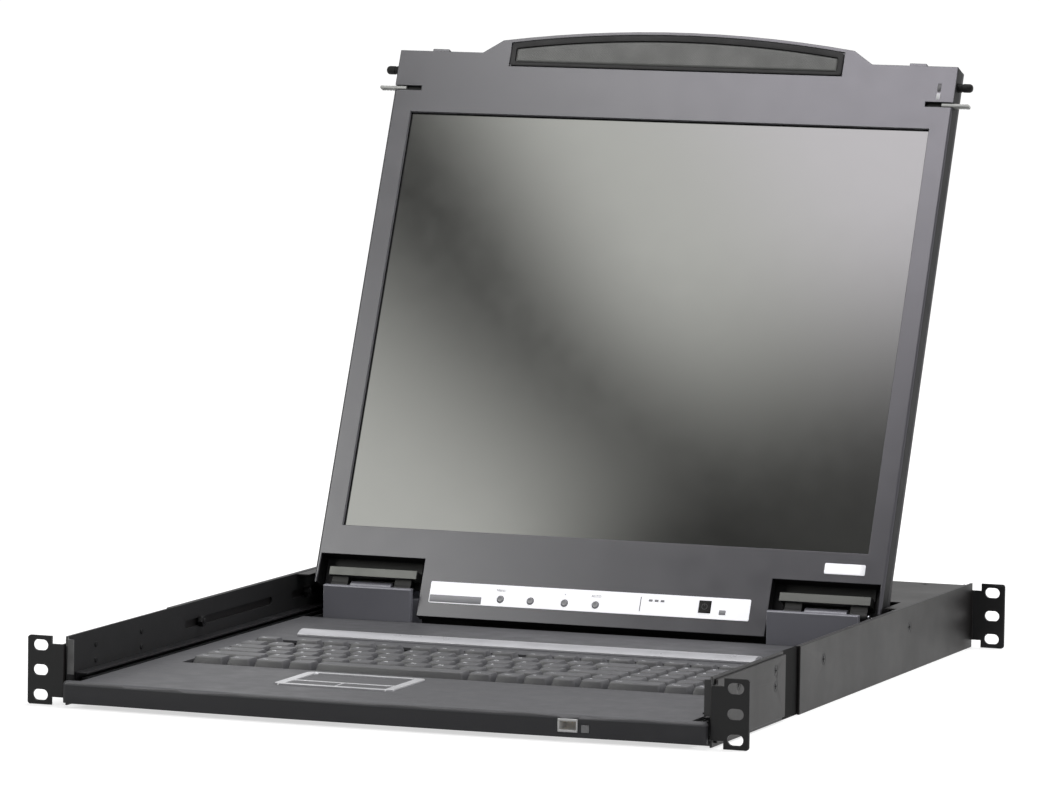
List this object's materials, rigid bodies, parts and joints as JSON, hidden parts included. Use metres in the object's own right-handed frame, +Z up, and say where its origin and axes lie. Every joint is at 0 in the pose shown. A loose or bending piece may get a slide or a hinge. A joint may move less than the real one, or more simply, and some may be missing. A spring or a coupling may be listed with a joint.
{
  "type": "rackmount lcd console drawer",
  "caption": "Rack drawer with a keyboard and touchpad on telescopic slides and a hinged flat display with slide latches, in a low chassis with adjustable rack ears.",
  "frame": {"origin": "centre of the front rack-hole pattern, in the rear face of the front ears", "axes": "+X to the user's right, +Y to the rear of the rack, +Z up"},
  "size_m": [0.4826, 0.5727, 0.4145],
  "materials": {
    "chassis_steel": "satin black powder coat",
    "side_plate": "satin dark grey powder coat",
    "zinc_steel": "zinc plated",
    "slide_steel": "black zinc",
    "screw_black": "black oxide",
    "circuit_board": "solder mask",
    "connector_black": "moulded",
    "deck_grey": "satin moulded",
    "key_grey": "fine matte moulded",
    "touch_frame": "satin silver",
    "touch_surface": "fine matte",
    "trim_silver": "satin silver",
    "port_housing": "light grey moulded",
    "indicator_lens": "diffuse lens",
    "bezel_grey": "satin metallic grey",
    "back_grey": "satin dark grey",
    "screen": "semi-gloss panel",
    "grip_grey": "soft matte",
    "strip_white": "printed film",
    "badge_white": "printed film",
    "hinge_metal": "satin grey",
    "button_grey": "moulded",
    "button_black": "moulded",
    "latch_black": "moulded"
  },
  "bodies": {
    "chassis": {"chassis_tray": "chassis_steel", "rear_cover": "side_plate", "front_bracket_left": "side_plate", "front_bracket_right": "side_plate", "slide_outer_left": "slide_steel", "slide_outer_right": "slide_steel", "main_board": "circuit_board", "power_supply": "zinc_steel", "power_inlet": "connector_black", "video_port": "zinc_steel", "chassis_screws": "screw_black"},
    "rocker": {"power_rocker": "button_black"},
    "rear_bracket_left": {"rear_bracket_left": "side_plate", "bracket_screws_left": "screw_black"},
    "rear_bracket_right": {"rear_bracket_right": "side_plate", "bracket_screws_right": "screw_black"},
    "slide_middle_left": {"slide_middle_left": "slide_steel"},
    "slide_middle_right": {"slide_middle_right": "slide_steel"},
    "drawer": {"drawer_tray": "chassis_steel", "deck_cover": "deck_grey", "keyboard_plate": "chassis_steel", "slide_inner_left": "slide_steel", "slide_inner_right": "slide_steel", "touchpad_frame": "touch_frame", "touchpad": "touch_surface", "trim_bar": "trim_silver", "usb_port": "port_housing", "status_led": "indicator_lens", "keyboard_board": "circuit_board", "hinge_bracket_left": "back_grey", "hinge_bracket_right": "back_grey", "hinge_pins": "zinc_steel", "hinge_screws": "screw_black"},
    "lid": {"lcd_bezel": "bezel_grey", "lid_back_cover": "back_grey", "lid_screws": "screw_black", "lcd_panel": "screen", "display_board": "circuit_board", "button_board": "circuit_board", "handle_grip": "grip_grey", "control_strip": "strip_white", "badge_plate": "badge_white", "hinge_leaf_left": "hinge_metal", "hinge_leaf_right": "hinge_metal"},
    "latch_left": {"latch_left": "latch_black"},
    "latch_right": {"latch_right": "latch_black"},
    "key_row_function": {"key_row_function": "key_grey"},
    "key_row_number": {"key_row_number": "key_grey"},
    "key_row_upper": {"key_row_upper": "key_grey"},
    "key_row_home": {"key_row_home": "key_grey"},
    "key_row_lower": {"key_row_lower": "key_grey"},
    "key_row_bottom": {"key_row_bottom": "key_grey"},
    "space_bar": {"space_bar": "key_grey"},
    "touchpad_button_left": {"touchpad_button_left": "touch_surface"},
    "touchpad_button_right": {"touchpad_button_right": "touch_surface"},
    "menu_button_1": {"menu_button_1": "button_grey"},
    "menu_button_2": {"menu_button_2": "button_grey"},
    "menu_button_3": {"menu_button_3": "button_grey"},
    "menu_button_4": {"menu_button_4": "button_grey"},
    "power_button": {"power_button": "button_black"}
  },
  "joints": [
    {"name": "drawer_slide", "type": "slide", "parent": "chassis", "child": "drawer", "axis": [0, -1, 0], "range_m": [0, 0.42]},
    {"name": "slide_middle_left", "type": "slide", "parent": "chassis", "child": "slide_middle_left", "axis": [0, -1, 0], "range_m": [0, 0.21]},
    {"name": "slide_middle_right", "type": "slide", "parent": "chassis", "child": "slide_middle_right", "axis": [0, -1, 0], "range_m": [0, 0.21]},
    {"name": "lid_hinge", "type": "hinge", "parent": "drawer", "child": "lid", "pos_m": [0, 0.393, 0.0135], "axis": [-1, 0, 0], "range_deg": [-113, 7]},
    {"name": "power_rocker", "type": "hinge", "parent": "chassis", "child": "rocker", "pos_m": [-0.122, 0.531, -0.001], "axis": [-1, 0, 0], "range_deg": [0, 16]},
    {"name": "rear_bracket_left", "type": "slide", "parent": "chassis", "child": "rear_bracket_left", "axis": [0, 1, 0], "range_m": [-0.02, 0.115]},
    {"name": "rear_bracket_right", "type": "slide", "parent": "chassis", "child": "rear_bracket_right", "axis": [0, 1, 0], "range_m": [-0.02, 0.115]},
    {"name": "key_row_function", "type": "slide", "parent": "drawer", "child": "key_row_function", "axis": [0, 0, -1], "range_m": [0, 0.002], "stiffness_N_per_m": 300, "springref_m": -0.002},
    {"name": "key_row_number", "type": "slide", "parent": "drawer", "child": "key_row_number", "axis": [0, 0, -1], "range_m": [0, 0.002], "stiffness_N_per_m": 300, "springref_m": -0.002},
    {"name": "key_row_upper", "type": "slide", "parent": "drawer", "child": "key_row_upper", "axis": [0, 0, -1], "range_m": [0, 0.002], "stiffness_N_per_m": 300, "springref_m": -0.002},
    {"name": "key_row_home", "type": "slide", "parent": "drawer", "child": "key_row_home", "axis": [0, 0, -1], "range_m": [0, 0.002], "stiffness_N_per_m": 300, "springref_m": -0.002},
    {"name": "key_row_lower", "type": "slide", "parent": "drawer", "child": "key_row_lower", "axis": [0, 0, -1], "range_m": [0, 0.002], "stiffness_N_per_m": 300, "springref_m": -0.002},
    {"name": "key_row_bottom", "type": "slide", "parent": "drawer", "child": "key_row_bottom", "axis": [0, 0, -1], "range_m": [0, 0.002], "stiffness_N_per_m": 300, "springref_m": -0.002},
    {"name": "space_bar", "type": "slide", "parent": "drawer", "child": "space_bar", "axis": [0, 0, -1], "range_m": [0, 0.002], "stiffness_N_per_m": 300, "springref_m": -0.002},
    {"name": "touchpad_button_left", "type": "slide", "parent": "drawer", "child": "touchpad_button_left", "axis": [0, 0, -1], "range_m": [0, 0.0008], "stiffness_N_per_m": 300, "springref_m": -0.002},
    {"name": "touchpad_button_right", "type": "slide", "parent": "drawer", "child": "touchpad_button_right", "axis": [0, 0, -1], "range_m": [0, 0.0008], "stiffness_N_per_m": 300, "springref_m": -0.002},
    {"name": "menu_button_1", "type": "slide", "parent": "lid", "child": "menu_button_1", "axis": [0, 0.9205, -0.3907], "range_m": [0, 0.0008], "stiffness_N_per_m": 200, "springref_m": -0.002},
    {"name": "menu_button_2", "type": "slide", "parent": "lid", "child": "menu_button_2", "axis": [0, 0.9205, -0.3907], "range_m": [0, 0.0008], "stiffness_N_per_m": 200, "springref_m": -0.002},
    {"name": "menu_button_3", "type": "slide", "parent": "lid", "child": "menu_button_3", "axis": [0, 0.9205, -0.3907], "range_m": [0, 0.0008], "stiffness_N_per_m": 200, "springref_m": -0.002},
    {"name": "menu_button_4", "type": "slide", "parent": "lid", "child": "menu_button_4", "axis": [0, 0.9205, -0.3907], "range_m": [0, 0.0008], "stiffness_N_per_m": 200, "springref_m": -0.002},
    {"name": "power_button", "type": "slide", "parent": "lid", "child": "power_button", "axis": [0, 0.9205, -0.3907], "range_m": [0, 0.0008], "stiffness_N_per_m": 200, "springref_m": -0.002},
    {"name": "latch_left", "type": "slide", "parent": "lid", "child": "latch_left", "axis": [1, 0, 0], "range_m": [0, 0.009], "stiffness_N_per_m": 150, "springref_m": -0.01},
    {"name": "latch_right", "type": "slide", "parent": "lid", "child": "latch_right", "axis": [-1, 0, 0], "range_m": [0, 0.009], "stiffness_N_per_m": 150, "springref_m": -0.01}
  ],
  "couplings": [
    {"joint": "slide_middle_left", "follows": "drawer_slide", "ratio": 0.5},
    {"joint": "slide_middle_right", "follows": "drawer_slide", "ratio": 0.5}
  ]
}
